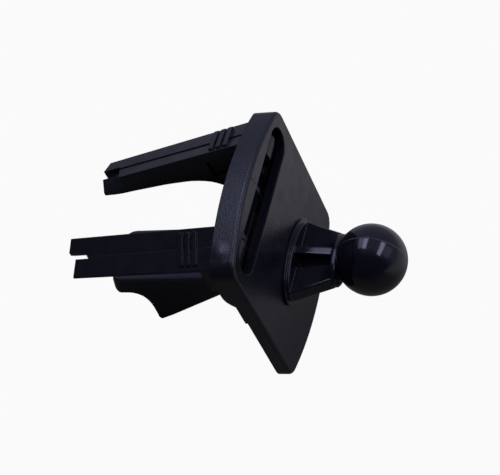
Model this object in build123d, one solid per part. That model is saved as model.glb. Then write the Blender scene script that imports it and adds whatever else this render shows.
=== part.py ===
from build123d import *
import math
import os

os.makedirs("parts", exist_ok=True)

# Lengths are millimetres. X is to the right seen from the ball, Y runs from the ball
# to the jaw, Z is up. Everything is drawn about the middle of the plate's front face
# and moved once, on export, so that the ball's centre is the origin.

# Face plate
plate_half_width = 24.0
plate_side_half_height = 20.8
plate_bulge = 4.6
plate_corner_r = 4.0
plate_wall = 2.2
plate_rim_wall = 1.2
plate_top_depth = 5.85
plate_side_depth = 3.3
plate_front_round = 0.9
step_top_z = 12.9
step_bottom_z = 7.35
slot_side_margin = 4.0
slot_length = 2 * (plate_half_width - slot_side_margin)
slot_height = 8.1
slot_drop = 4.1
slot_z = plate_side_half_height - slot_drop
slot_edge_round = 0.45
back_rib_thickness = 1.2
back_rib_height = 0.9
back_rib_x = 11.0
back_rib_top_z = -12.6
plate_rib_end = 2.0
cross_rib_inner_x = 5.2

# Ball head
ball_r = 8.5
ball_reach = 19.1
ball_drop = 7.1
flange_semi_x = 12.0
flange_semi_z = 6.2
flange_step = 0.7
flange_step_inset = 0.9
flange_edge_round = 0.25
fin_x_half_base = 10.6
fin_x_half_neck = 6.9
fin_x_thickness = 3.6
fin_z_half_base = 4.9
fin_z_half_neck = 3.8
fin_z_thickness = 2.2
fin_start_y = -1.2
fin_end_y = -10.9
collar_semi_x = 7.2
collar_semi_z = 4.2
collar_back_y = -10.4
collar_front_y = -11.9
neck_semi_x = 5.4
neck_semi_z = 3.9
spigot_r = 3.5
spigot_clearance = 0.1
key_peg_r = 1.2
key_peg_x = 8.0
key_peg_length = 1.4

# Ball screw and washer
ball_screw_r = 1.5
ball_screw_tip_y = -8.0
ball_screw_head_r = 2.75
ball_screw_head_height = 1.6
thread_clearance = 0.05
washer_r = 4.4
washer_thickness = 0.5

# Arms: the crease along the top face runs down and inwards towards the tip
crease_y0 = 11.44
crease_x0 = 16.08
crease_z0 = 19.91
crease_toe_in = 0.0899
crease_fall = 0.188
arm_inner_width = 4.8
arm_inner_rise = 1.8
arm_outer_width_root = 5.3
arm_outer_width_tip = 4.6
arm_outer_drop = 1.4
arm_outer_edge_thickness = 0.65
arm_crease_step = 0.25
arm_face_thickness = 1.55
arm_wall = 2.0
arm_edge_round = 0.3
arm_wall_reach = 26.0
arm_start_y = 6.2
arm_end_y = 48.6
prong_end_slant = 0.9
left_inner_prong_y = 48.2
left_outer_prong_y = 45.8
right_inner_prong_y = 46.8
right_outer_prong_y = 46.7
tip_block_start_y = 40.0
tip_block_depth = 5.0
tip_slot_inner = 1.3
tip_slot_outer = 0.45
tip_slot_inner_y = 43.5
tip_slot_outer_y = 42.0
tip_lip_thickness = 0.6
tip_undercut = 3.2
pocket_crease_y = 41.9
pocket_edge_y = 40.0
pocket_depth_slot = 1.2
pocket_depth_ridge = 0.75
pocket_depth_edge = 2.0
grip_rib_y = (11.4, 13.3, 15.2)
grip_rib_width = 1.2
grip_rib_height = 0.6
grip_rib_inner_inset = 1.0
grip_rib_outer_inset = 0.9
grip_rib_skew = 0.15
grip_rib_end_reach = 0.2
root_recess_y = (8.6, 16.6)
root_recess_depth = 0.8
root_recess_below = (0.9, 6.4)
root_web = ((11.4, 19.7), (12.5, 19.7), (16.6, 14.2), (15.5, 14.2))
root_boss_y = 10.9
root_boss_z = 18.1
root_boss_r = 1.2
root_web_face_x = 11.4
arm_bottom_edge = (
    (50.0, 10.5), (45.0, 10.5), (42.0, 10.5), (39.0, 10.85), (35.0, 11.3), (32.0, 11.6),
    (29.0, 11.9), (26.0, 12.0), (22.5, 12.0), (20.0, 11.6), (18.0, 11.0), (16.0, 9.8),
    (13.0, 7.3), (10.0, 5.0), (7.5, 2.2), (4.5, 0.6),
)

# Arm roots: barrel seen in the slot, foot behind the plate, knuckle round the pin
root_y = 5.2
root_z = slot_z
root_r = 3.9
root_inner_x = 12.4
root_outer_x = 18.2
boss_height = 1.2
foot_thickness = 2.0
foot_inner_x = 10.0
foot_outer_x = 22.0
foot_bottom_z = -1.0
foot_top_z = 14.0
knuckle_inner_x = 11.2
knuckle_outer_x = 14.4
knuckle_r = 3.5
knuckle_web_height = 2.5
cheek_inner_x = 11.6
cheek_outer_x = 13.6
cheek_bottom_z = 0.0
cheek_top_z = 9.6
stop_lug_inner_x = 5.9
stop_lug_outer_x = 13.0
stop_lug_depth = 2.4
stop_lug_bottom_z = 3.4
stop_lug_top_z = 6.2
seat_gap = 0.3
overlap = 0.5

# Arm screws, the same on both arms: distance from the middle, height
arm_screw_spots = ((17.3, 6.4), (16.6, 1.2))
arm_screw_r = 1.0
arm_screw_tip_y = 0.9
arm_screw_head_r = 2.1
arm_screw_head_height = 1.5
arm_screw_hole_r = 1.2
arm_boss_r = 2.5

# Hinge
hinge_y = 8.0
hinge_z = 11.5
pin_r = 1.25
pin_fixed_clearance = 0.02
pin_running_clearance = 0.05
pin_head_r = 2.1
pin_head_thickness = 0.8
pin_tail = 1.2
clip_r = 2.3
pin_end_relief_r = 2.7
clip_thickness = 0.5
clip_groove_r = 0.95
clip_groove_clearance = 0.05

# Trigger lever
lever_half_width = 7.6
lever_barrel_r = 3.5
lever_boss_r = 2.3
lever_boss_end_x = knuckle_inner_x - 0.3
neck_front_y = 5.6
neck_back_y = 13.0
lever_top_z = -1.8
lever_top_start_y = 19.1
lever_top_end_y = 41.5
lever_top_root = 3.2
lever_edge_round = 1.9
lever_edge_reach_z = -4.8
lever_back_root = (11.2, 10.5)
lever_neck_corner_z = 6.6
lever_hollow = ((14.0, 0.7), (16.1, -1.05))
lever_nose = ((43.9, -2.1), (45.6, -3.25), (46.4, -5.3))
lever_chin = ((46.4, -5.3), (46.4, -6.8), (45.6, -8.0), (44.0, -8.3))
lever_hook = (
    (44.0, -8.3), (42.35, -8.4), (40.8, -9.0), (39.6, -10.15), (38.9, -12.25),
    (38.7, -14.1), (38.8, -16.0), (38.9, -17.7), (38.9, -19.2), (38.4, -19.7),
)
lever_underside = ((38.4, -19.7), (34.5, -17.9), (18.9, -9.8), (6.4, -3.2))
lever_neck_front = ((neck_front_y, -1.6), (neck_front_y, 8.6), (4.9, 10.2))
lever_core = ((12.0, -7.6), (17.0, -5.4), (33.5, -5.4), (35.6, -10.0), (35.6, -20.0), (30.0, -20.0))
core_width = 4.6
core_rib = 1.8

# Torsion springs
spring_mean_r = 3.1
spring_wire_r = 0.4
spring_inner_x = 8.25
spring_outer_x = 10.5
spring_turns = 2
fixed_leg_angle = -40.0
moving_leg_z = 4.6
moving_leg_reach = 2.8

# Reach of the cutters used at the tips
tip_top = 6.0
plan_bottom_z = -2.0
plan_height = 30.0

crease_direction = Vector(-crease_toe_in, 1.0, -crease_fall)
foot_front_y = plate_wall + boss_height
foot_back_y = foot_front_y + foot_thickness


def x_rod(radius, x_from, x_to, y, z):
    """Round rod along X."""
    middle = Location(((x_from + x_to) / 2, y, z), (0, 90, 0))
    return middle * Cylinder(radius, x_to - x_from)


def y_rod(radius, y_from, y_to, x, z):
    """Round rod along Y."""
    middle = Location((x, (y_from + y_to) / 2, z), (90, 0, 0))
    return middle * Cylinder(radius, y_to - y_from)


def block(x_range, y_range, z_range):
    """Box between three pairs of limits."""
    size = [high - low for low, high in (x_range, y_range, z_range)]
    middle = [(high + low) / 2 for low, high in (x_range, y_range, z_range)]
    return Pos(*middle) * Box(*size)


def prism_along_x(outline, x_from, x_to):
    """Extrude a closed face drawn in the YZ plane from one X to another."""
    solid = extrude(outline, x_to - x_from, dir=(1, 0, 0))
    return Pos(x_from, 0, 0) * solid


def yz(y, z):
    """Point in the YZ plane."""
    return Vector(0, y, z)


def crease_point(y):
    """X and Z of the arm's crease at a distance behind the plate's front."""
    x = crease_x0 - crease_toe_in * (y - crease_y0)
    z = crease_z0 - crease_fall * (y - crease_y0)
    return x, z


def arm_bar(corners, y_from, y_to, skew=0.0):
    """Bar along the arm whose section, relative to the crease, has these corners."""
    x0, z0 = crease_point(y_from)
    points = [(x0 + x, y_from + skew * x, z0 + z) for x, z in corners]
    section = make_face(Polyline(*points, close=True))
    length = (y_to - y_from) * crease_direction.length
    return extrude(section, length, dir=crease_direction)


def plate_outline(inset=0.0):
    """Face of the plate's front outline in the XZ plane."""
    half_width = plate_half_width - inset
    side = plate_side_half_height
    crown = side + plate_bulge - inset
    bulge_r = (plate_half_width ** 2 + plate_bulge ** 2) / (2 * plate_bulge) - inset
    fall = bulge_r - math.sqrt(bulge_r ** 2 - half_width ** 2)
    corner_z = crown - fall
    right = Line((half_width, 0, -corner_z), (half_width, 0, corner_z))
    top = ThreePointArc((half_width, 0, corner_z), (0, 0, crown), (-half_width, 0, corner_z))
    left = Line((-half_width, 0, corner_z), (-half_width, 0, -corner_z))
    bottom = ThreePointArc((-half_width, 0, -corner_z), (0, 0, -crown), (half_width, 0, -corner_z))
    face = make_face([right, top, left, bottom])
    return fillet(face.vertices(), plate_corner_r - inset)


def slot_prism(y_from, y_to):
    """The stadium-shaped slot as a solid."""
    end_r = slot_height / 2
    end_x = slot_length / 2 - end_r
    middle = block((-end_x, end_x), (y_from, y_to), (slot_z - end_r, slot_z + end_r))
    ends = y_rod(end_r, y_from, y_to, -end_x, slot_z) + y_rod(end_r, y_from, y_to, end_x, slot_z)
    return middle + ends


def step_cutter():
    """Everything behind the S-shaped step that makes the sides and bottom shallower."""
    reach = plate_top_depth + 1.0
    below = -plate_side_half_height - plate_bulge - 1.0
    curve = Spline(
        yz(plate_top_depth, step_top_z),
        yz(5.59, 10.9),
        yz(4.72, 9.34),
        yz(4.03, 8.54),
        yz(plate_side_depth, step_bottom_z),
        tangents=(Vector(0, -0.02, -1), Vector(0, -0.35, -1)),
    )
    rest = Polyline(
        yz(plate_side_depth, step_bottom_z),
        yz(plate_side_depth, below),
        yz(reach, below),
        yz(reach, step_top_z),
        yz(plate_top_depth, step_top_z),
    )
    face = make_face([curve, rest])
    span = plate_half_width + 2.0
    return prism_along_x(face, -span, span)


def y_prism(face, y_from, y_to):
    """Extrude a face of the XZ plane between two Y values."""
    solid = extrude(face, y_to - y_from, dir=(0, 1, 0))
    return Pos(0, y_from, 0) * solid


def build_face_plate():
    """Cover plate with rim, slot, screw bosses, ribs and the ball head's holes."""
    plate = y_prism(plate_outline(), 0.0, plate_top_depth)
    front_edges = plate.faces().sort_by(Axis.Y)[0].edges()
    plate = fillet(front_edges, plate_front_round)
    plate -= step_cutter()
    hollow = y_prism(plate_outline(plate_rim_wall), plate_wall, plate_top_depth + 2.0)
    plate -= hollow
    plate -= slot_prism(-1.0, plate_wall + 1.0)
    slot_edges = [
        edge
        for edge in plate.faces().sort_by(Axis.Y)[0].edges()
        if edge.center().Z > slot_z - slot_height and abs(edge.center().X) < slot_length / 2
        and edge.center().Z < slot_z + slot_height / 2 + 0.1
    ]
    plate = fillet(slot_edges, slot_edge_round)
    for distance, height in arm_screw_spots:
        for side in (-1, 1):
            plate += y_rod(arm_boss_r, plate_wall - overlap, foot_front_y, side * distance, height)
            hole_r = arm_screw_r + thread_clearance
            plate -= y_rod(hole_r, arm_screw_tip_y - 0.1, foot_front_y + 0.1, side * distance, height)
    rib_back = plate_wall + back_rib_height
    rib_half = back_rib_thickness / 2
    rim_z = plate_side_half_height + plate_rib_end
    rib_y = (plate_wall - overlap, rib_back)
    cross_rib_z = (-ball_drop - rib_half, -ball_drop + rib_half)
    rim_x = plate_half_width - plate_rim_wall + 0.1
    for side in (-1, 1):
        x = side * back_rib_x
        plate += block((x - rib_half, x + rib_half), rib_y, (-rim_z, back_rib_top_z))
        low, high = sorted((side * cross_rib_inner_x, side * rim_x))
        plate += block((low, high), rib_y, cross_rib_z)
    plate -= y_rod(spigot_r + spigot_clearance, -1.0, plate_wall + 1.0, 0.0, -ball_drop)
    for side in (-1, 1):
        plate -= y_rod(key_peg_r + spigot_clearance, -1.0, key_peg_length + 0.2, side * key_peg_x, -ball_drop)
    return plate


def ellipse_plate(semi_x, semi_z, y_from, y_to):
    """Oval disc about the stem's axis."""
    plane = Plane(origin=(0, y_from, -ball_drop), x_dir=(1, 0, 0), z_dir=(0, 1, 0))
    return extrude(plane * Ellipse(semi_x, semi_z), y_to - y_from)


def tapered_fin(base, neck):
    """Fin whose cross-section goes from (half x, half z) at the plate to that at the neck."""
    def rectangle(size, y):
        plane = Plane(origin=(0, y, -ball_drop), x_dir=(1, 0, 0), z_dir=(0, 1, 0))
        return plane * Rectangle(2 * size[0], 2 * size[1])
    return loft([rectangle(base, fin_start_y), rectangle(neck, fin_end_y)])


def build_ball_head():
    """Ball on a tapered cross-shaped stem with collar, stepped flange and spigot."""
    flange = ellipse_plate(flange_semi_x, flange_semi_z, -flange_step, 0.0)
    inner_x = flange_semi_x - flange_step_inset
    inner_z = flange_semi_z - flange_step_inset
    flange += ellipse_plate(inner_x, inner_z, -2 * flange_step, 0.0)
    flange = fillet(flange.faces().sort_by(Axis.Y)[0].edges(), flange_edge_round)
    half_t = fin_x_thickness / 2
    wide_fin = tapered_fin((fin_x_half_base, half_t), (fin_x_half_neck, half_t))
    wide_fin = fillet(wide_fin.edges().filter_by(lambda edge: abs(edge.center().Z + ball_drop) > 1.0
                      and abs(edge.center().X) > 2.0), 0.4)
    half_t = fin_z_thickness / 2
    tall_fin = tapered_fin((half_t, fin_z_half_base), (half_t, fin_z_half_neck))
    tall_fin = fillet(tall_fin.edges().filter_by(lambda edge: abs(edge.center().Z + ball_drop) > 2.0
                      and abs(edge.center().X) > 0.5), 0.35)
    collar = ellipse_plate(collar_semi_x, collar_semi_z, collar_front_y, collar_back_y)
    collar = fillet(collar.edges(), 0.5)
    neck = ellipse_plate(neck_semi_x, neck_semi_z, -ball_reach + 4.0, collar_back_y)
    ball = Pos(0, -ball_reach, -ball_drop) * Sphere(ball_r)
    head = flange + wide_fin + tall_fin + collar + neck + ball
    head += y_rod(spigot_r, -1.0, plate_wall - 0.1, 0.0, -ball_drop)
    for side in (-1, 1):
        head += y_rod(key_peg_r, -1.0, key_peg_length, side * key_peg_x, -ball_drop)
    head -= y_rod(ball_screw_r + thread_clearance, ball_screw_tip_y - 0.3, plate_wall, 0.0, -ball_drop)
    return head


def cross_recess(y_back, x, z, size, depth):
    """Cross-shaped driver recess cut into a screw head from behind."""
    arm = size * 0.3
    bar = block((x - size, x + size), (y_back - depth, y_back + 0.1), (z - arm, z + arm))
    return bar + block((x - arm, x + arm), (y_back - depth, y_back + 0.1), (z - size, z + size))


def pan_head_screw(x, z, radius, tip_y, seat_y, head_r, head_height):
    """Screw along Y with its head behind the seat."""
    shank = y_rod(radius, tip_y, seat_y + 0.2, x, z)
    shank = chamfer(shank.edges().sort_by(Axis.Y)[0], radius * 0.5)
    head = y_rod(head_r, seat_y, seat_y + head_height, x, z)
    head = fillet(head.edges().sort_by(Axis.Y)[-1], head_height * 0.45)
    head -= cross_recess(seat_y + head_height, x, z, head_r * 0.55, head_height * 0.6)
    return shank + head


def build_ball_screw():
    """Screw that holds the ball head to the plate."""
    seat_y = plate_wall + washer_thickness
    return pan_head_screw(0.0, -ball_drop, ball_screw_r, ball_screw_tip_y, seat_y,
                          ball_screw_head_r, ball_screw_head_height)


def build_ball_screw_washer():
    """Washer that bridges the spigot's hole."""
    ring = y_rod(washer_r, plate_wall, plate_wall + washer_thickness, 0.0, -ball_drop)
    hole_r = ball_screw_r + 0.1
    return ring - y_rod(hole_r, plate_wall - 1.0, plate_wall + 2.0, 0.0, -ball_drop)


def build_arm_screws():
    """The four screws through the arms' feet."""
    screws = []
    for side in (-1, 1):
        for distance, height in arm_screw_spots:
            screws.append(pan_head_screw(side * distance, height, arm_screw_r, arm_screw_tip_y,
                                         foot_back_y, arm_screw_head_r, arm_screw_head_height))
    return Compound(children=screws)


def plan_prism(points):
    """Tall prism whose plan follows the arm: points are distance from the crease and Y."""
    outline = [(crease_point(y)[0] + x, y, plan_bottom_z) for x, y in points]
    return extrude(make_face(Polyline(*outline, close=True)), plan_height, dir=(0, 0, 1))


def grip_rib(y, skew):
    """One raised, slightly slanted rib with round ends across both facets of the arm's face."""
    inner = arm_inner_width - grip_rib_inner_inset
    outer_width = arm_outer_width(y)
    outer = outer_width - grip_rib_outer_inset
    inner_z = arm_inner_rise * inner / arm_inner_width
    outer_z = arm_crease_step - (arm_outer_drop + arm_crease_step) * outer / outer_width
    corners = [
        (outer, outer_z + grip_rib_height),
        (0.0, arm_crease_step + grip_rib_height),
        (-inner, inner_z + grip_rib_height),
        (-inner, inner_z - overlap),
        (0.0, -overlap),
        (outer, outer_z - overlap),
    ]
    rib = arm_bar(corners, y - grip_rib_width / 2, y + grip_rib_width / 2, skew)
    middle = crease_point(y)[0]
    ends = [
        edge
        for edge in rib.edges().filter_by(lambda edge: edge.length < 1.0 + grip_rib_height)
        if abs(edge.center().X - middle) > min(inner, outer) - grip_rib_end_reach
    ]
    return fillet(ends, grip_rib_width * 0.4)


def arm_outer_width(y):
    """Width of the outer facet, which narrows evenly from root to tip."""
    share = (y - arm_start_y) / (arm_end_y - arm_start_y)
    return arm_outer_width_root + share * (arm_outer_width_tip - arm_outer_width_root)


def arm_section(y):
    """The arm's rolled face and deep inner wall, cut across at one distance."""
    outer_width = arm_outer_width(y)
    wall_x = arm_wall - arm_inner_width
    wall_top = arm_inner_rise * -wall_x / arm_inner_width - arm_face_thickness
    corners = [
        (outer_width, -arm_outer_drop),
        (0.0, arm_crease_step),
        (0.0, 0.0),
        (-arm_inner_width, arm_inner_rise),
        (-arm_inner_width, -arm_wall_reach),
        (wall_x, -arm_wall_reach),
        (wall_x, wall_top),
        (0.0, -arm_face_thickness),
        (outer_width, -arm_outer_drop - arm_outer_edge_thickness),
    ]
    x0, z0 = crease_point(y)
    points = [(x0 + x, y, z0 + z) for x, z in corners]
    section = make_face(Polyline(*points, close=True))
    outer_limit = x0 + outer_width - 0.1
    inner_limit = x0 - arm_inner_width + 0.1
    rounded = [
        vertex
        for vertex in section.vertices()
        if vertex.X > outer_limit or (vertex.X < inner_limit and vertex.Z > z0)
    ]
    return fillet(rounded, arm_edge_round)


def arm_beam():
    """The arm before its tip is cut: tapering bar, solid near the tip, with a curved lower edge."""
    bar = loft([arm_section(arm_start_y), arm_section(arm_end_y)], ruled=True)
    outer = arm_outer_width_tip - arm_edge_round
    inner = arm_inner_width - arm_edge_round
    sunk = arm_edge_round
    bar += arm_bar([
        (outer, -arm_outer_drop - sunk),
        (0.0, -sunk),
        (-inner, arm_inner_rise - 2 * sunk),
        (-inner, -tip_block_depth),
        (tip_slot_outer, -tip_block_depth),
    ], tip_block_start_y, arm_end_y)
    wall_face = -arm_inner_width
    high, low = root_recess_below
    bar -= arm_bar([
        (wall_face - overlap, -high),
        (wall_face + root_recess_depth, -high),
        (wall_face + root_recess_depth, -low),
        (wall_face - overlap, -low),
    ], *root_recess_y)
    back_x = root_web_face_x + arm_wall / 2
    bar += prism_along_x(make_face(Polyline(*points_yz(root_web), close=True)), root_web_face_x, back_x)
    bar += x_rod(root_boss_r, root_web_face_x, back_x, root_boss_y, root_boss_z)
    low_edge = Spline(*points_yz(arm_bottom_edge))
    first_y, first_z = arm_bottom_edge[0]
    last_y, last_z = arm_bottom_edge[-1]
    top = crease_z0 + arm_wall_reach
    rest = Polyline(yz(last_y, last_z), yz(last_y, top), yz(first_y, top), yz(first_y, first_z))
    keep = prism_along_x(make_face([low_edge, rest]), 0.0, plate_half_width)
    return bar & keep


def tip_cuts(side):
    """What the tip loses: the vane slot with a slanted end, the prongs' ends and the pocket or undercut."""
    inner = -tip_slot_inner
    outer = tip_slot_outer
    wide = arm_outer_width_root + 2.0
    past = arm_end_y + 2.0
    inner_end = right_inner_prong_y if side > 0 else left_inner_prong_y
    outer_end = right_outer_prong_y if side > 0 else left_outer_prong_y
    inner_edge_end = inner_end - prong_end_slant if side > 0 else inner_end
    cuts = plan_prism([(inner, tip_slot_inner_y), (inner, past), (outer, past), (outer, tip_slot_outer_y)])
    cuts += plan_prism([(-arm_inner_width, inner_edge_end), (-wide, inner_edge_end), (-wide, past),
                        (inner, past), (inner, inner_end)])
    cuts += plan_prism([(outer, outer_end), (outer, past), (wide, past), (wide, outer_end)])
    if side > 0:
        floor = [(-wide, tip_top), (outer, tip_top), (outer, -pocket_depth_slot),
                 (inner, -pocket_depth_ridge), (-arm_inner_width, -pocket_depth_edge),
                 (-wide, -pocket_depth_edge)]
        plan = [(outer, pocket_crease_y), (0.0, pocket_crease_y), (-arm_inner_width, pocket_edge_y),
                (-wide, pocket_edge_y), (-wide, past), (outer, past)]
        cuts += arm_bar(floor, tip_block_start_y - 2.0, past) & plan_prism(plan)
    else:
        lip = [(inner, -tip_lip_thickness), (outer, -tip_lip_thickness), (outer, -tip_block_depth),
               (inner - tip_undercut, -tip_block_depth)]
        cuts += arm_bar(lip, tip_slot_inner_y, past)
    return cuts


def build_arm(side):
    """One arm, drawn on the +X side; side -1 gives the other one with the same prong lengths."""
    arm = arm_beam()
    arm -= tip_cuts(side)
    for y in grip_rib_y:
        arm += grip_rib(y, side * grip_rib_skew)
    arm += x_rod(root_r, root_inner_x, root_outer_x, root_y, root_z)
    arm += block((foot_inner_x, foot_outer_x), (foot_front_y, foot_back_y), (foot_bottom_z, foot_top_z))
    arm += x_rod(knuckle_r, knuckle_inner_x, knuckle_outer_x, hinge_y, hinge_z)
    arm += block((knuckle_inner_x, knuckle_outer_x), (foot_front_y, hinge_y),
                 (hinge_z - knuckle_r, hinge_z + knuckle_web_height))
    lug_front = neck_back_y + seat_gap
    lug_back = lug_front + stop_lug_depth
    arm += block((stop_lug_inner_x, stop_lug_outer_x), (lug_front, lug_back),
                 (stop_lug_bottom_z, stop_lug_top_z))
    arm += block((cheek_inner_x, cheek_outer_x), (foot_front_y, lug_back), (cheek_bottom_z, cheek_top_z))
    arm -= x_rod(pin_r + pin_fixed_clearance, 0.0, plate_half_width, hinge_y, hinge_z)
    arm -= x_rod(pin_end_relief_r, knuckle_outer_x, root_outer_x + 1.0, hinge_y, hinge_z)
    coil_space_r = spring_mean_r + spring_wire_r + seat_gap
    arm -= x_rod(coil_space_r, foot_inner_x - 1.0, knuckle_inner_x, hinge_y, hinge_z)
    for distance, height in arm_screw_spots:
        arm -= y_rod(arm_screw_hole_r, 0.0, plate_top_depth + 4.0, distance, height)
    if side < 0:
        arm = mirror(arm, about=Plane.YZ)
    return arm


def build_hinge_pin():
    """Pin with a head at +X and a clip groove at -X."""
    tail_x = -knuckle_outer_x - pin_tail
    pin = x_rod(pin_r, tail_x, knuckle_outer_x + 0.1, hinge_y, hinge_z)
    pin = chamfer(pin.edges().sort_by(Axis.X)[0], 0.25)
    head_end = knuckle_outer_x + pin_head_thickness
    head = x_rod(pin_head_r, knuckle_outer_x, head_end, hinge_y, hinge_z)
    pin += fillet(head.edges().sort_by(Axis.X)[-1], 0.4)
    groove_from = -knuckle_outer_x - clip_thickness - 0.03
    groove = x_rod(pin_r + 0.5, groove_from, -knuckle_outer_x, hinge_y, hinge_z)
    groove -= x_rod(clip_groove_r, groove_from - 0.1, -knuckle_outer_x + 0.1, hinge_y, hinge_z)
    return pin - groove


def build_pin_clip():
    """Open clip that snaps into the pin's groove."""
    x_to = -knuckle_outer_x
    clip = x_rod(clip_r, x_to - clip_thickness, x_to, hinge_y, hinge_z)
    inner_r = clip_groove_r + clip_groove_clearance
    clip -= x_rod(inner_r, x_to - 1.0, x_to + 1.0, hinge_y, hinge_z)
    mouth = inner_r * 0.8
    clip -= block((x_to - 1.0, x_to + 1.0), (hinge_y - mouth, hinge_y + mouth), (hinge_z - 4.0, hinge_z))
    return clip


def points_yz(pairs):
    """Points in the YZ plane from pairs of Y and Z."""
    return [yz(y, z) for y, z in pairs]


def lever_side_face():
    """The lever's side outline in the YZ plane, without barrel."""
    back_root = yz(*lever_back_root)
    neck_back = yz(neck_back_y, lever_neck_corner_z)
    neck_low = yz(neck_back_y, lever_top_root)
    top_start = yz(lever_top_start_y, lever_top_z)
    top_end = yz(lever_top_end_y, lever_top_z)
    down_back = Line(back_root, neck_back)
    straight = Line(neck_back, neck_low)
    hollow = Spline(neck_low, *points_yz(lever_hollow), top_start,
                    tangents=(Vector(0, 0, -1), Vector(0, 1, 0)))
    top = Line(top_start, top_end)
    nose = Spline(top_end, *points_yz(lever_nose), tangents=(Vector(0, 1, 0), Vector(0, 0.25, -1)))
    chin = Spline(*points_yz(lever_chin), tangents=(Vector(0, 0.02, -1), Vector(0, -1, -0.02)))
    hook = Spline(*points_yz(lever_hook))
    under = Polyline(*points_yz(lever_underside + lever_neck_front), back_root)
    return make_face([down_back, straight, hollow, top, nose, chin, hook, under])


def build_trigger_lever():
    """Lower jaw: barrel, spring bosses, neck, flat grip seat, nose and trigger hook."""
    lever = prism_along_x(lever_side_face(), -lever_half_width, lever_half_width)
    top_edges = [
        edge
        for edge in lever.edges()
        if abs(abs(edge.center().X) - lever_half_width) < 0.01
        and edge.center().Y > neck_back_y - 0.1 and edge.center().Z > lever_edge_reach_z
    ]
    lever = fillet(top_edges, lever_edge_round)
    lever += x_rod(lever_barrel_r, -lever_half_width, lever_half_width, hinge_y, hinge_z)
    lever += x_rod(lever_boss_r, -lever_boss_end_x, lever_boss_end_x, hinge_y, hinge_z)
    core = make_face(Polyline(*points_yz(lever_core), close=True))
    for side in (-1, 1):
        near = side * core_rib / 2
        far = side * (core_rib / 2 + core_width)
        low, high = sorted((near, far))
        lever -= prism_along_x(core, low, high)
    bore_r = pin_r + pin_running_clearance
    lever -= x_rod(bore_r, -lever_boss_end_x - 1.0, lever_boss_end_x + 1.0, hinge_y, hinge_z)
    return lever


def build_spring(side):
    """Torsion spring: fixed leg on the arm's foot, moving leg in front of the neck."""
    sweep_angle = 180.0 + 360.0 * spring_turns - fixed_leg_angle
    length = spring_outer_x - spring_inner_x
    pitch = length * 360.0 / sweep_angle
    plane = Plane(origin=(spring_inner_x, hinge_y, hinge_z), x_dir=(0, -1, 0), z_dir=(1, 0, 0))
    coil = plane * Helix(pitch, length, spring_mean_r, lefthand=True)
    wire_face = Plane(origin=coil @ 0, z_dir=coil % 0) * Circle(spring_wire_r)
    spring = sweep(wire_face, path=coil, is_frenet=True)
    inner_end = coil @ 0
    outer_end = coil @ 1
    start = math.radians(fixed_leg_angle)
    leg_dir = Vector(0, math.sin(start), -math.cos(start))
    rest_y = foot_back_y + spring_wire_r + seat_gap
    leg_length = (outer_end.Y - rest_y) / -leg_dir.Y
    leg_end = outer_end + leg_dir * leg_length
    corner = Vector(inner_end.X, inner_end.Y, moving_leg_z)
    hook_end = corner - Vector(moving_leg_reach, 0, 0)
    for first, last in ((outer_end, leg_end), (inner_end, corner), (corner, hook_end)):
        spring += rod_between(first, last)
    for joint in (outer_end, inner_end, corner):
        spring += Pos(*joint) * Sphere(spring_wire_r)
    return spring if side > 0 else mirror(spring, about=Plane.YZ)


def rod_between(first, last):
    """Straight piece of spring wire."""
    plane = Plane(origin=first, z_dir=last - first)
    return extrude(plane * Circle(spring_wire_r), (last - first).length)


def save(name, solid):
    """Move to the ball-centred frame and write one STEP file."""
    placed = Pos(0, ball_reach, ball_drop) * solid
    export_step(placed, "parts/" + name + ".step")
    print(name, round(placed.volume, 1), len(placed.solids()), placed.is_valid)


save("face_plate", build_face_plate())
save("ball_head", build_ball_head())
save("ball_screw", build_ball_screw())
save("ball_screw_washer", build_ball_screw_washer())
save("arm_screws", build_arm_screws())
save("left_arm", build_arm(-1))
save("right_arm", build_arm(1))
save("hinge_pin", build_hinge_pin())
save("pin_clip", build_pin_clip())
save("trigger_lever", build_trigger_lever())
save("left_spring", build_spring(-1))
save("right_spring", build_spring(1))
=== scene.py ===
"""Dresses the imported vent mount: moulded black plastic, steel hinge, studio and camera.

Names ending in _mm are millimetres and every other length is in metres. Both are in the object's
frame, whose origin is the ball's centre: X to the right seen from the ball, Y back to the jaw, Z up.
"""

import logging
import math
from dataclasses import dataclass
from enum import Enum

import bmesh
import bpy
from mathutils import Matrix, Vector

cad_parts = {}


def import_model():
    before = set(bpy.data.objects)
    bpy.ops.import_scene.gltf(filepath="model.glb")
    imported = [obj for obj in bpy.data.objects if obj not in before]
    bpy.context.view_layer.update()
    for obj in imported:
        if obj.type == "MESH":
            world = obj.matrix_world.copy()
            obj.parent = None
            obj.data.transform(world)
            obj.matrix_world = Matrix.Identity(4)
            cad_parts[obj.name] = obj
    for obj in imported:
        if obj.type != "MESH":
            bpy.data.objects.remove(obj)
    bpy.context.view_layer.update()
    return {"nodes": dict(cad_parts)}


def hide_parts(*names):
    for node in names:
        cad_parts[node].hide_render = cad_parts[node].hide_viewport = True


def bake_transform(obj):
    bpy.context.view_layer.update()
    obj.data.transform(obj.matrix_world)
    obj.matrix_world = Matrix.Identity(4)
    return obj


LOG = logging.getLogger("vent_mount")
MM = 0.001
BALL_TO_PLATE = Vector((0.0, 19.1, 7.1))

Triple = tuple[float, float, float]
Nodes = dict[str, bpy.types.Object]
Socket = bpy.types.NodeSocket
Tree = bpy.types.NodeTree


class Grain(Enum):
    """How the mould's wall was finished, which the plastic copies."""

    SPARK = "spark"
    SATIN = "satin"
    POLISHED = "polished"


def linear(hex_colour: str) -> tuple[float, float, float, float]:
    """Turn an sRGB hex colour into linear RGBA.

    Args:
        hex_colour: Six hex digits, without a leading sign.

    Returns:
        Red, green, blue and an alpha of one.
    """
    channels = []
    for start in (0, 2, 4):
        value = int(hex_colour[start:start + 2], 16) / 255.0
        if value <= 0.04045:
            channels.append(value / 12.92)
        else:
            channels.append(((value + 0.055) / 1.055) ** 2.4)
    return (channels[0], channels[1], channels[2], 1.0)


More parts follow.
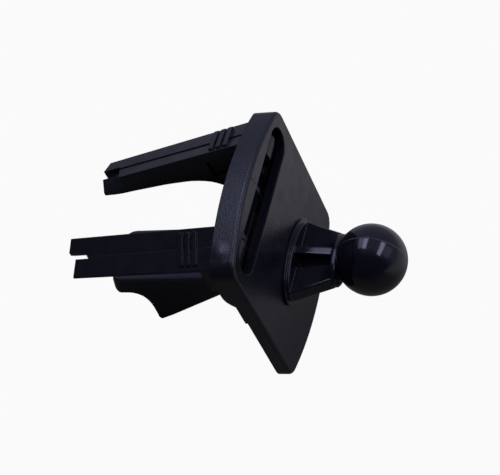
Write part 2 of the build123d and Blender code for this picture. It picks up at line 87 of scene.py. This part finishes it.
def metres(values_mm: Triple) -> Triple:
    """Turn three lengths from millimetres into metres."""
    return tuple(value * MM for value in values_mm)


def from_plate(x: float, y: float, z: float) -> Vector:
    """Place a point given in millimetres from the plate's middle in the object's frame, in metres."""
    return (Vector((x, y, z)) + BALL_TO_PLATE) * MM


def add_node(
    tree: Tree,
    kind: str,
    settings: dict[str, object] | None = None,
    values: dict[str | int, object] | None = None,
    links: dict[str | int, Socket] | None = None,
) -> bpy.types.Node:
    """Add one node with its settings, its input values and its incoming links.

    Args:
        tree: The node tree to add to.
        kind: Blender's type name of the node.
        settings: Attributes of the node.
        values: Input sockets, by name or number, and their constants.
        links: Input sockets, by name or number, and the output sockets that feed them.

    Returns:
        The new node.
    """
    node = tree.nodes.new(kind)
    for name, value in (settings or {}).items():
        setattr(node, name, value)
    for name, value in (values or {}).items():
        node.inputs[name].default_value = value
    for name, source in (links or {}).items():
        tree.links.new(source, node.inputs[name])
    return node


def work_out(tree: Tree, kind: str, operation: str, terms: tuple[object, ...]) -> bpy.types.Node:
    """Add one node of arithmetic.

    Args:
        tree: The node tree to add to.
        kind: Blender's type name of the node.
        operation: Blender's name of the operation.
        terms: The node's inputs in order, each a socket or a constant.

    Returns:
        The new node.
    """
    values = {place: term for place, term in enumerate(terms) if not isinstance(term, Socket)}
    links = {place: term for place, term in enumerate(terms) if isinstance(term, Socket)}
    return add_node(tree, kind, {"operation": operation}, values, links)


def number(tree: Tree, operation: str, *terms: Socket | float) -> Socket:
    """Work out a number from numbers."""
    return work_out(tree, "ShaderNodeMath", operation, terms).outputs["Value"]


def vector(tree: Tree, operation: str, *terms: Socket | Triple) -> Socket:
    """Work out a vector from vectors."""
    return work_out(tree, "ShaderNodeVectorMath", operation, terms).outputs["Vector"]


def length(tree: Tree, operation: str, *terms: Socket | Triple) -> Socket:
    """Work out a length or a distance from vectors."""
    return work_out(tree, "ShaderNodeVectorMath", operation, terms).outputs["Value"]


def split_axes(tree: Tree, place: Socket) -> bpy.types.NodeOutputs:
    """Take a vector apart into sockets named X, Y and Z."""
    return add_node(tree, "ShaderNodeSeparateXYZ", links={0: place}).outputs


def ramp(
    tree: Tree,
    source: Socket,
    span: tuple[float, float],
    result: tuple[float, float],
    smooth: bool = True,
) -> Socket:
    """Map a span of values on another and hold the ends.

    Args:
        tree: The node tree to add to.
        source: The value to map.
        span: Where the source starts and ends.
        result: What comes out at those two.
        smooth: Whether the ramp eases in and out.

    Returns:
        The mapped value.
    """
    node = add_node(tree, "ShaderNodeMapRange",
                    {"interpolation_type": "SMOOTHSTEP" if smooth else "LINEAR"},
                    {"From Min": span[0], "From Max": span[1], "To Min": result[0], "To Max": result[1]},
                    {"Value": source})
    return node.outputs["Result"]


def noise(tree: Tree, place: Socket, size_mm: float, detail: float, roughness: float = 0.5) -> Socket:
    """Draw soft noise.

    Args:
        tree: The node tree to add to.
        place: Where the noise is looked up.
        size_mm: The width of its largest blots.
        detail: How many finer layers it has.
        roughness: How strong the finer layers are.

    Returns:
        Its value, about a half on average.
    """
    node = add_node(tree, "ShaderNodeTexNoise",
                    values={"Scale": 1.0 / (size_mm * MM), "Detail": detail, "Roughness": roughness},
                    links={"Vector": place})
    return node.outputs["Fac"]


def bump(
    tree: Tree,
    height: Socket,
    depth_mm: float,
    normal: Socket | None,
    strength: float = 1.0,
) -> Socket:
    """Lean a shading normal by a height.

    Args:
        tree: The node tree to add to.
        height: The height, from nought to one.
        depth_mm: How far a height of one stands up.
        normal: The normal to lean, or None for the surface's own.
        strength: How much of the lean is used.

    Returns:
        The new normal.
    """
    links = {"Height": height} if normal is None else {"Height": height, "Normal": normal}
    node = add_node(tree, "ShaderNodeBump", values={"Strength": strength, "Distance": depth_mm * MM},
                    links=links)
    return node.outputs["Normal"]


def mix_colours(tree: Tree, share: Socket, first: Socket | str, second: str) -> Socket:
    """Mix two colours.

    Args:
        tree: The node tree to add to.
        share: The second colour's share.
        first: The first colour, as a socket or in hex.
        second: The second colour in hex.

    Returns:
        The mixed colour.
    """
    values = {7: linear(second)}
    links = {0: share}
    if isinstance(first, str):
        values[6] = linear(first)
    else:
        links[6] = first
    return add_node(tree, "ShaderNodeMix", {"data_type": "RGBA"}, values, links).outputs[2]


def empty_material(name: str) -> tuple[bpy.types.Material, Tree]:
    """Make a material without nodes.

    Args:
        name: The material's name.

    Returns:
        The material and its node tree.
    """
    material = bpy.data.materials.new(name)
    material.use_nodes = True
    material.node_tree.nodes.clear()
    return material, material.node_tree


def object_place(tree: Tree) -> Socket:
    """Give Object coordinates, which stay on the piece when it moves."""
    return add_node(tree, "ShaderNodeTexCoord").outputs["Object"]


def add_object(name: str, data: bpy.types.ID) -> bpy.types.Object:
    """Put mesh, lamp or camera data into the scene as an object.

    Args:
        name: The object's name.
        data: What it shows.

    Returns:
        The new object.
    """
    obj = bpy.data.objects.new(name, data)
    bpy.context.scene.collection.objects.link(obj)
    return obj


def dress(obj: bpy.types.Object, material: bpy.types.Material) -> None:
    """Give every face of an object one material.

    Args:
        obj: The object to dress.
        material: What it wears.
    """
    if not obj.material_slots:
        obj.data.materials.append(material)
    for material_slot in obj.material_slots:
        material_slot.material = material


@dataclass(frozen=True)
class SurfaceLine:
    """A straight line on a surface, at an X given as a line in Z, with its relief and its tone."""

    x_mm: float
    x_per_z: float
    lowest_z_mm: float
    furthest_y_mm: float
    half_width_mm: float
    height_mm: float
    tone_hex: str

    def build(self, tree: Tree, place: Socket) -> Socket:
        """Draw the line: one along its middle and nought beside it.

        Args:
            tree: The plastic's node tree.
            place: Object coordinates.

        Returns:
            The line's strength.
        """
        axes = split_axes(tree, place)
        lean = number(tree, "MULTIPLY_ADD", axes["Z"], -self.x_per_z, -self.x_mm * MM)
        aside = number(tree, "ABSOLUTE", number(tree, "ADD", axes["X"], lean))
        crest = ramp(tree, aside, (0.0, self.half_width_mm * MM), (1.0, 0.0))
        above = number(tree, "GREATER_THAN", axes["Z"], self.lowest_z_mm * MM)
        before = number(tree, "LESS_THAN", axes["Y"], self.furthest_y_mm * MM)
        return number(tree, "MULTIPLY", crest, number(tree, "MULTIPLY", above, before))


@dataclass(frozen=True)
class Swelling:
    """A slight round swelling that the mould left: its middle, its radius and how far it stands up."""

    centre_mm: Triple
    radius_mm: float
    height_mm: float

    def build(self, tree: Tree, place: Socket) -> Socket:
        """Draw the swelling: one at its middle and nought from its radius on.

        Args:
            tree: The plastic's node tree.
            place: Object coordinates.

        Returns:
            The swelling's share of its full height.
        """
        gap = length(tree, "DISTANCE", place, metres(self.centre_mm))
        return ramp(tree, gap, (0.0, self.radius_mm * MM), (1.0, 0.0))


@dataclass(frozen=True)
class DullPaintedShadeZone:
    """A box in which a piece's walls are rougher and get painted shade as lowered gloss: its middle, its
    half sizes, how far the gloss drops and how far the roughness rises.
    """

    middle_mm: Triple
    half_mm: Triple
    gloss_loss: float
    roughness_gain: float

    def build(self, tree: Tree, place: Socket) -> Socket:
        """Mark the box with one inside it and nought outside.

        Args:
            tree: The plastic's node tree.
            place: Object coordinates.

        Returns:
            The mark.
        """
        away = vector(tree, "ABSOLUTE", vector(tree, "SUBTRACT", place, metres(self.middle_mm)))
        spare = split_axes(tree, vector(tree, "SUBTRACT", metres(self.half_mm), away))
        least = number(tree, "MINIMUM", number(tree, "MINIMUM", spare["X"], spare["Y"]), spare["Z"])
        return number(tree, "GREATER_THAN", least, 0.0)


@dataclass(frozen=True)
class MouldedPlastic:
    """Injection moulded ABS, through-coloured black, with the finish of its mould.

    Attributes:
        name: The material's name.
        body_hex: One end of its cloudy colour.
        shade_hex: The other end.
        roughness: The middle of its roughness.
        roughness_spread: How far patches leave that middle.
        grain: How the mould was finished.
        grain_mm: The width of the grain.
        grain_depth_mm: How far the grain stands up.
        wave_depth_mm: How far the slow waves of shrinkage stand up.
        edge_mm: The radius to which edges look rounded.
        lines: Weld lines, whose dark tone is painted shade, parting lines, and painted highlights along
            edges.
        swellings: Round swellings.
        dull_painted_shade_zone: Where its walls are rougher and get painted shade, if anywhere.
        cloud_mm: The width of the colour's cloud.
        patch_mm: The width of duller and shinier patches.
        patch_span: The noise's values at which a patch is fully shiny or dull.
        wave_mm: The width of the slow waves.
        pit_to_grain: How much wider a spark crater is than the grain.
        pit_share: How much craters add to the grain.
        grain_strength: How much of the grain's lean is used.
        edge_samples: Rays per look at a rounded edge.
        gloss: Blender's level of the mirror reflection, a half for what the IOR gives.
        ior: The plastic's index of refraction.
    """

    name: str
    body_hex: str
    shade_hex: str
    roughness: float
    roughness_spread: float
    grain: Grain
    grain_mm: float
    grain_depth_mm: float
    wave_depth_mm: float
    edge_mm: float = 0.25
    lines: tuple[SurfaceLine, ...] = ()
    swellings: tuple[Swelling, ...] = ()
    dull_painted_shade_zone: DullPaintedShadeZone | None = None
    cloud_mm: float = 14.0
    patch_mm: float = 3.5
    patch_span: tuple[float, float] = (0.3, 0.7)
    wave_mm: float = 6.0
    pit_to_grain: float = 1.6
    pit_share: float = 0.5
    grain_strength: float = 0.5
    edge_samples: int = 6
    gloss: float = 0.5
    ior: float = 1.5

    def build(self) -> bpy.types.Material:
        """Build the node tree of this plastic.

        Returns:
            The material.
        """
        material, tree = empty_material(self.name)
        place = object_place(tree)
        rough = self.build_roughness(tree, place)
        shader = add_node(tree, "ShaderNodeBsdfPrincipled",
                          values={"IOR": self.ior, "Specular IOR Level": self.gloss},
                          links={"Base Color": self.build_colour(tree, place), "Roughness": rough,
                                 "Normal": self.build_relief(tree, place)})
        if self.dull_painted_shade_zone is not None:
            # Painted shade: in the slot the walls mirror little, for the shade that falls there, and
            # they are also rougher.
            inside = self.dull_painted_shade_zone.build(tree, place)
            duller = number(tree, "MULTIPLY_ADD", inside, self.dull_painted_shade_zone.roughness_gain, rough)
            gloss = number(tree, "MULTIPLY_ADD", inside, -self.dull_painted_shade_zone.gloss_loss, self.gloss)
            tree.links.new(duller, shader.inputs["Roughness"])
            tree.links.new(gloss, shader.inputs["Specular IOR Level"])
        add_node(tree, "ShaderNodeOutputMaterial", links={"Surface": shader.outputs[0]})
        return material

    def build_colour(self, tree: Tree, place: Socket) -> Socket:
        """Colour the plastic and tone its lines.

        Args:
            tree: The plastic's node tree.
            place: Object coordinates.

        Returns:
            The colour.
        """
        # Carbon black is never quite even: a slow cloud between two near-blacks.
        cloud = noise(tree, place, self.cloud_mm, 3.0)
        colour = mix_colours(tree, cloud, self.body_hex, self.shade_hex)
        # Trimmed flash is chalky, a weld line's dark tone is painted shade in its crease, and the
        # lever's pale edges are a painted highlight.
        for line in self.lines:
            colour = mix_colours(tree, line.build(tree, place), colour, line.tone_hex)
        return colour

    def build_roughness(self, tree: Tree, place: Socket) -> Socket:
        """Spread the roughness about its middle.

        Args:
            tree: The plastic's node tree.
            place: Object coordinates.

        Returns:
            The roughness.
        """
        # Handling and flow leave duller and shinier patches, so the sheen breaks up softly.
        patches = noise(tree, place, self.patch_mm, 5.0)
        limits = (self.roughness - self.roughness_spread, self.roughness + self.roughness_spread)
        return ramp(tree, patches, self.patch_span, limits, smooth=False)

    def build_relief(self, tree: Tree, place: Socket) -> Socket:
        """Layer the relief: softened edges, slow waves, the mould's grain, swellings and raised lines.

        Args:
            tree: The plastic's node tree.
            place: Object coordinates.

        Returns:
            The shading normal.
        """
        # Moulded edges are never knife sharp: a small soft edge catches the lamps.
        edge = add_node(tree, "ShaderNodeBevel", {"samples": self.edge_samples},
                        {"Radius": self.edge_mm * MM})
        # Walls sink a little as they cool, which makes long highlights wander.
        relief = bump(tree, noise(tree, place, self.wave_mm, 1.0), self.wave_depth_mm, edge.outputs[0])
        height = noise(tree, place, self.grain_mm, 2.0, 0.6)
        if self.grain is Grain.SPARK:
            # Spark erosion leaves overlapping craters, which read as a fine even mottle.
            pits = add_node(tree, "ShaderNodeTexVoronoi", {"feature": "F1"},
                            {"Scale": 1.0 / (self.grain_mm * self.pit_to_grain * MM)}, {"Vector": place})
            height = number(tree, "MULTIPLY_ADD", pits.outputs["Distance"], self.pit_share, height)
        relief = bump(tree, height, self.grain_depth_mm, relief, self.grain_strength)
        for mark in (*self.swellings, *self.lines):
            if mark.height_mm:
                relief = bump(tree, mark.build(tree, place), mark.height_mm, relief)
        return relief


@dataclass(frozen=True)
class Steel:
    """Drawn, ground or zinc plated steel, with the fine lines of its making along one axis."""

    name: str
    body_hex: str
    roughness: float
    line_mm: float
    stretch: Triple = (1.0, 1.0, 1.0)
    smoother_by: float = 0.08
    rougher_by: float = 0.1
    line_depth_mm: float = 0.01
    line_strength: float = 0.3

    def build(self) -> bpy.types.Material:
        """Build the node tree of this steel.

        Returns:
            The material.
        """
        material, tree = empty_material(self.name)
        turned = add_node(tree, "ShaderNodeMapping", values={"Scale": self.stretch},
                          links={"Vector": object_place(tree)})
        # The marks of drawing, grinding or plating, which break the metal's mirror.
        lines = noise(tree, turned.outputs[0], self.line_mm, 3.0)
        limits = (self.roughness - self.smoother_by, self.roughness + self.rougher_by)
        rough = ramp(tree, lines, (0.0, 1.0), limits, smooth=False)
        relief = bump(tree, lines, self.line_depth_mm, None, self.line_strength)
        shader = add_node(tree, "ShaderNodeBsdfPrincipled",
                          values={"Base Color": linear(self.body_hex), "Metallic": 1.0},
                          links={"Roughness": rough, "Normal": relief})
        add_node(tree, "ShaderNodeOutputMaterial", links={"Surface": shader.outputs[0]})
        return material


@dataclass
class Cover:
    """The face plate."""

    finish: MouldedPlastic
    nodes: Nodes

    def build(self) -> list[str]:
        """Dress the plate and return its name."""
        dress(self.nodes["face_plate"], self.finish.build())
        return ["face_plate"]


@dataclass
class BallHead:
    """The ball and its cross-shaped stem."""

    finish: MouldedPlastic
    nodes: Nodes

    def build(self) -> list[str]:
        """Dress the ball head and return its name."""
        dress(self.nodes["ball_head"], self.finish.build())
        return ["ball_head"]


@dataclass
class Arms:
    """The two fixed jaw arms."""

    finish: MouldedPlastic
    nodes: Nodes

    def build(self) -> list[str]:
        """Dress both arms in one plastic.

        Returns:
            The arms' names.
        """
        material = self.finish.build()
        names = ["left_arm", "right_arm"]
        for name in names:
            dress(self.nodes[name], material)
        return names


@dataclass
class Lever:
    """The trigger lever."""

    finish: MouldedPlastic
    nodes: Nodes

    def build(self) -> list[str]:
        """Dress the lever and return its name."""
        dress(self.nodes["trigger_lever"], self.finish.build())
        return ["trigger_lever"]


@dataclass
class TorsionSpring:
    """One hinge spring: its outer leg stays on the arm's foot, its inner leg presses the lever."""

    node_name: str
    side: int
    nodes: Nodes
    material: bpy.types.Material
    still_x_mm: float = 10.5
    moving_x_mm: float = 8.75
    weld_mm: float = 0.002
    sharp_from_deg: float = 50.0

    def build(self) -> str:
        """Copy the wire as a new piece, dress it and hide the original spring.

        Returns:
            The new piece's name.
        """
        name = f"{self.node_name}_wire"
        piece = add_object(name, self.copy_wire(name))
        dress(piece, self.material)
        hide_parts(self.node_name)
        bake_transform(piece)
        return name

    def copy_wire(self, name: str) -> bpy.types.Mesh:
        """Copy the spring's mesh with its corners joined and its round wire shaded smooth.

        Args:
            name: The copy's name.

        Returns:
            The copy.
        """
        wire = bmesh.new()
        wire.from_mesh(self.nodes[self.node_name].data)
        bmesh.ops.remove_doubles(wire, verts=wire.verts, dist=self.weld_mm * MM)
        bmesh.ops.recalc_face_normals(wire, faces=wire.faces)
        mesh = bpy.data.meshes.new(name)
        wire.to_mesh(mesh)
        wire.free()
        mesh.shade_smooth()
        mesh.set_sharp_from_angle(angle=math.radians(self.sharp_from_deg))
        return mesh


@dataclass
class Hardware:
    """Screws, washer, pin, clip and springs."""

    zinc: Steel
    ground: Steel
    wire: Steel
    nodes: Nodes

    def build(self) -> list[str]:
        """Dress the steel pieces by how each is made, and copy the springs' wire as new pieces.

        Returns:
            The names of the dressed nodes and of the two new springs.
        """
        drawn = self.wire.build()
        groups = (
            (self.zinc.build(), ("ball_screw", "ball_screw_washer", "arm_screws")),
            (self.ground.build(), ("hinge_pin", "pin_clip")),
            (drawn, ("left_spring", "right_spring")),
        )
        done = []
        for material, names in groups:
            for name in names:
                dress(self.nodes[name], material)
                done.append(name)
        for name, side in (("left_spring", -1), ("right_spring", 1)):
            done.append(TorsionSpring(name, side, self.nodes, drawn).build())
        return done


@dataclass(frozen=True)
class SoftBox:
    """One rectangular studio lamp that faces a target and runs between two directions seen from it."""

    name: str
    from_direction: Triple
    to_direction: Triple
    width: float
    glow: float
    colour_hex: str
    distance: float = 1.2

    def build(self, target: Vector) -> None:
        """Hang the lamp so that its ends lie in its two directions.

        Args:
            target: The point that it faces.
        """
        first = Vector(self.from_direction).normalized()
        last = Vector(self.to_direction).normalized()
        away = (first + last).normalized()
        along = (last - first).normalized()
        lamp = bpy.data.lights.new(self.name, "AREA")
        lamp.shape = "RECTANGLE"
        lamp.size = (last - first).length * self.distance
        lamp.size_y = self.width
        lamp.energy = self.glow * math.pi * lamp.size * lamp.size_y
        lamp.color = linear(self.colour_hex)[:3]
        obj = add_object(self.name, lamp)
        obj.visible_camera = False
        turn = Matrix((along, away.cross(along), away)).transposed().to_4x4()
        obj.matrix_world = Matrix.Translation(target + away * self.distance) @ turn


@dataclass(frozen=True)
class PaleFloor:
    """Floor that the camera sees as white and the glossy plastic as a painted glowing pool with a
    painted shadow in it.
    """

    z: float = -0.052
    half: float = 1.5
    pool_skew: float = 1.0
    pool_half: float = 0.12
    pool_levels: tuple[tuple[float, float], ...] = (
        (0.0, 0.10), (0.42, 0.12), (0.58, 0.13), (0.67, 0.2), (0.75, 0.31), (0.83, 0.42), (1.0, 0.5),
    )
    fade_span: tuple[float, float] = (0.12, 0.5)
    fade_levels: tuple[float, float] = (1.0, 0.55)
    shadow_spot: Triple = (-0.025, 0.085, -0.052)
    shadow_span: tuple[float, float] = (0.014, 0.045)
    shadow_levels: tuple[float, float] = (0.1, 1.0)
    matt_hex: str = "8c8c8c"
    sheen_hex: str = "efeffc"
    camera_share: float = 0.95

    def build(self) -> None:
        """Lay the floor as an object of its own."""
        sheet = bmesh.new()
        bmesh.ops.create_grid(sheet, x_segments=1, y_segments=1, size=self.half)
        bmesh.ops.translate(sheet, verts=sheet.verts, vec=(0.0, 0.0, self.z))
        mesh = bpy.data.meshes.new("floor")
        sheet.to_mesh(mesh)
        sheet.free()
        floor = add_object("floor", mesh)
        dress(floor, self.build_material())

    def build_material(self) -> bpy.types.Material:
        """Build the node tree: matt for soft light, a painted glowing pool for the gloss, white for the
        camera.

        Returns:
            The material.
        """
        material, tree = empty_material("pale_floor")
        path = add_node(tree, "ShaderNodeLightPath").outputs
        matt = add_node(tree, "ShaderNodeBsdfDiffuse", values={"Color": linear(self.matt_hex)})
        sheen = add_node(tree, "ShaderNodeEmission", values={"Color": linear(self.sheen_hex)},
                         links={"Strength": self.build_level(tree)})
        glossy = add_node(tree, "ShaderNodeMixShader",
                          links={0: path["Is Glossy Ray"], 1: matt.outputs[0], 2: sheen.outputs[0]})
        # The rest of what the camera sees is matt, which keeps a faint shadow on the white.
        glow = add_node(tree, "ShaderNodeEmission", values={"Strength": 1.0})
        seen = number(tree, "MULTIPLY", path["Is Camera Ray"], self.camera_share)
        mix = add_node(tree, "ShaderNodeMixShader",
                       links={0: seen, 1: glossy.outputs[0], 2: glow.outputs[0]})
        add_node(tree, "ShaderNodeOutputMaterial", links={"Surface": mix.outputs[0]})
        return material

    def build_level(self, tree: Tree) -> Socket:
        """Work out how bright the gloss sees each place of the floor.

        Args:
            tree: The floor's node tree.

        Returns:
            The brightness.
        """
        place = object_place(tree)
        axes = split_axes(tree, place)
        # Painted pool of light for the gloss: dim on the lever's side, brighter under the window's side.
        askew = number(tree, "MULTIPLY_ADD", axes["Y"], -self.pool_skew, axes["X"])
        across = ramp(tree, askew, (-self.pool_half, self.pool_half), (0.0, 1.0), smooth=False)
        pool = add_node(tree, "ShaderNodeFloatCurve", links={"Value": across})
        curve = pool.mapping.curves[0]
        curve.points[0].location = self.pool_levels[0]
        curve.points[1].location = self.pool_levels[-1]
        for spot in self.pool_levels[1:-1]:
            curve.points.new(*spot)
        pool.mapping.update()
        fade = ramp(tree, length(tree, "LENGTH", place), self.fade_span, self.fade_levels, smooth=False)
        # Painted shadow: the jaw's own soft shadow, painted into the glow, which the lever's flank
        # mirrors.
        gap = length(tree, "DISTANCE", place, self.shadow_spot)
        under = ramp(tree, gap, self.shadow_span, self.shadow_levels)
        return number(tree, "MULTIPLY", number(tree, "MULTIPLY", pool.outputs[0], fade), under)


@dataclass(frozen=True)
class Room:
    """Soft surroundings, brighter on the window's side, that the camera sees as white."""

    surround: float = 0.065
    window_side: float = 0.37
    window_span: tuple[float, float] = (-0.5, 0.1)
    back_skew: float = -0.4
    back_span: tuple[float, float] = (0.1, 0.55)
    back_levels: tuple[float, float] = (1.0, 0.04)
    shade_hex: str = "c4caf5"
    white_hex: str = "ffffff"

    def build(self) -> None:
        """Set up the world."""
        world = bpy.data.worlds.new("studio")
        bpy.context.scene.world = world
        world.use_nodes = True
        tree = world.node_tree
        tree.nodes.clear()
        seen = add_node(tree, "ShaderNodeLightPath").outputs["Is Camera Ray"]
        axes = split_axes(tree, add_node(tree, "ShaderNodeTexCoord").outputs["Generated"])
        # The room brightens softly towards +X and falls off again towards the back.
        side = ramp(tree, axes["X"], self.window_span, (0.0, self.window_side))
        slant = number(tree, "MULTIPLY_ADD", axes["X"], self.back_skew, axes["Y"])
        front = ramp(tree, slant, self.back_span, self.back_levels)
        room = number(tree, "MULTIPLY_ADD", side, front, self.surround)
        level = add_node(tree, "ShaderNodeMix", {"data_type": "FLOAT"}, {3: 1.0}, {0: seen, 2: room})
        shade = mix_colours(tree, seen, self.shade_hex, self.white_hex)
        back = add_node(tree, "ShaderNodeBackground",
                        links={"Color": shade, "Strength": level.outputs[0]})
        add_node(tree, "ShaderNodeOutputWorld", links={"Surface": back.outputs[0]})


@dataclass(frozen=True)
class Studio:
    """Floor, surroundings and lamps, which face a point a little behind the plate."""

    lamps: tuple[SoftBox, ...]
    floor: PaleFloor = PaleFloor()
    room: Room = Room()
    target_mm: Triple = (0.0, 10.0, 0.0)

    def build(self) -> None:
        """Set up floor, world and lamps."""
        self.floor.build()
        self.room.build()
        for lamp in self.lamps:
            lamp.build(from_plate(*self.target_mm))
        bpy.context.scene.view_settings.view_transform = "Standard"


@dataclass(frozen=True)
class PhotoCamera:
    """Camera fitted to the photograph's outlines of ball, plate and arms, placed from the plate."""

    place_mm: Triple = (-199.11, -132.675, 260.15)
    right: Triple = (0.22045, -0.9173, -0.33155)
    up: Triple = (0.79763, -0.02613, 0.6026)
    lens_mm: float = 108.43
    sensor_mm: float = 36.0
    nearest: float = 0.01

    def build(self) -> None:
        """Place the camera."""
        data = bpy.data.cameras.new("photo_camera")
        data.lens = self.lens_mm
        data.sensor_width = self.sensor_mm
        data.sensor_fit = "HORIZONTAL"
        data.clip_start = self.nearest
        camera = add_object("photo_camera", data)
        right = Vector(self.right).normalized()
        back = right.cross(Vector(self.up)).normalized()
        turn = Matrix((right, back.cross(right), back)).transposed().to_4x4()
        camera.matrix_world = Matrix.Translation(from_plate(*self.place_mm)) @ turn
        bpy.context.scene.camera = camera


# Painted shade: the weld line is a real groove, and its dark tone stands in for the shade in its crease.
WELD_LINE = SurfaceLine(x_mm=4.733, x_per_z=-0.1576, lowest_z_mm=29.1, furthest_y_mm=19.2,
                        half_width_mm=0.18, height_mm=-0.16, tone_hex="050507")
PARTING_LINE = SurfaceLine(x_mm=0.0, x_per_z=0.0, lowest_z_mm=-20.0, furthest_y_mm=9.0,
                           half_width_mm=0.16, height_mm=0.14, tone_hex="5c5d66")
# Painted highlight: pale lines along the lever's two top edges stand in for the lamp's highlight on its
# rounded bead.
PAINTED_EDGE_HIGHLIGHTS = tuple(
    SurfaceLine(x_mm=side * 7.1, x_per_z=0.0, lowest_z_mm=4.1, furthest_y_mm=80.0,
                half_width_mm=1.1, height_mm=0.0, tone_hex="62636f")
    for side in (-1, 1)
)
RIM_SWELLING = Swelling(centre_mm=(-19.1, 23.1, 29.7), radius_mm=3.0, height_mm=0.3)
# Painted shade in the slot's walls: lowered gloss where shade falls, with more roughness.
SLOT_WALL_SHADE = DullPaintedShadeZone(middle_mm=(0.0, 20.2, 23.8), half_mm=(20.3, 1.06, 4.3),
                      gloss_loss=0.42, roughness_gain=0.2)
PLATE_PLASTIC = MouldedPlastic("abs_plate_spark_textured", body_hex="14151a", shade_hex="191a1f",
                               roughness=0.34, roughness_spread=0.06, grain=Grain.SPARK, grain_mm=0.42,
                               grain_depth_mm=0.075, wave_depth_mm=0.02, lines=(WELD_LINE,),
                               swellings=(RIM_SWELLING,), dull_painted_shade_zone=SLOT_WALL_SHADE)
BALL_PLASTIC = MouldedPlastic("abs_ball_polished", body_hex="101117", shade_hex="14151c",
                              roughness=0.1, roughness_spread=0.03, grain=Grain.POLISHED, grain_mm=0.8,
                              grain_depth_mm=0.003, wave_depth_mm=0.006, edge_mm=0.45,
                              lines=(PARTING_LINE,))
ARM_PLASTIC = MouldedPlastic("abs_arms_satin", body_hex="111216", shade_hex="16171b",
                             roughness=0.34, roughness_spread=0.06, grain=Grain.SATIN, grain_mm=0.35,
                             grain_depth_mm=0.012, wave_depth_mm=0.02)
LEVER_PLASTIC = MouldedPlastic("abs_lever_satin", body_hex="14151a", shade_hex="18191f",
                               roughness=0.32, roughness_spread=0.06, grain=Grain.SATIN, grain_mm=0.35,
                               grain_depth_mm=0.012, wave_depth_mm=0.016, lines=PAINTED_EDGE_HIGHLIGHTS)
ZINC_STEEL = Steel("screw_steel_zinc_plated", body_hex="b4b6bb", roughness=0.32, line_mm=0.12)
GROUND_STEEL = Steel("pin_steel_ground", body_hex="b0b1b3", roughness=0.26, line_mm=0.08,
                     stretch=(12.0, 1.0, 1.0))
SPRING_WIRE = Steel("spring_wire_drawn", body_hex="8f9297", roughness=0.3, line_mm=0.06)
LAMPS = (
    SoftBox("left_panel", from_direction=(0.627, 0.05, 0.777),
            to_direction=(-0.042, 0.08, 0.996), width=0.22, glow=3.9, colour_hex="d8daff"),
    SoftBox("left_panel_edge", from_direction=(0.606, 0.25, 0.755),
            to_direction=(0.0, 0.27, 0.963), width=0.34, glow=1.6, colour_hex="ccd0ff"),
    SoftBox("right_panel", from_direction=(0.54, -0.636, 0.55),
            to_direction=(-0.275, -0.635, 0.722), width=0.25, glow=3.9, colour_hex="d8daff"),
    SoftBox("right_panel_edge", from_direction=(0.414, -0.851, 0.323),
            to_direction=(-0.181, -0.87, 0.459), width=0.44, glow=0.45, colour_hex="c8ccff"),
)


def main() -> None:
    """Build everything in order and report each piece."""
    logging.basicConfig(level=logging.INFO, format="%(name)s: %(message)s")
    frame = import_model()
    nodes = frame["nodes"]
    sections = (
        Cover(PLATE_PLASTIC, nodes),
        BallHead(BALL_PLASTIC, nodes),
        Arms(ARM_PLASTIC, nodes),
        Lever(LEVER_PLASTIC, nodes),
        Hardware(ZINC_STEEL, GROUND_STEEL, SPRING_WIRE, nodes),
    )
    for section in sections:
        for piece in section.build():
            LOG.info("%s: %s", type(section).__name__, piece)
    Studio(LAMPS).build()
    PhotoCamera().build()


if __name__ == "__main__":
    main()
